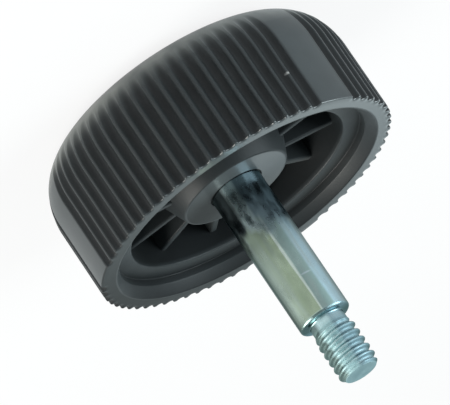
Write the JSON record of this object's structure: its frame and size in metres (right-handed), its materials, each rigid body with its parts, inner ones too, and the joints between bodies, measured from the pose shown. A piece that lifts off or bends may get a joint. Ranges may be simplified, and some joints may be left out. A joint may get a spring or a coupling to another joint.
{
  "type": "knurled knob",
  "caption": "Knurled clamping knob: a fluted cup-shaped plastic head moulded on a steel stud with a plain shank, a shoulder and a short threaded end.",
  "frame": {"origin": "centre of the head's flat top, which the knob stands on", "axes": "+Z along the stud towards its threaded end, +Y towards the middle of one plain land"},
  "size_m": [0.048, 0.048, 0.0496],
  "materials": {
    "head_plastic": "satin moulded",
    "stud_zinc": "bright zinc plate"
  },
  "bodies": {
    "root": {"knob_head": "head_plastic", "stud": "stud_zinc"}
  },
  "joints": []
}
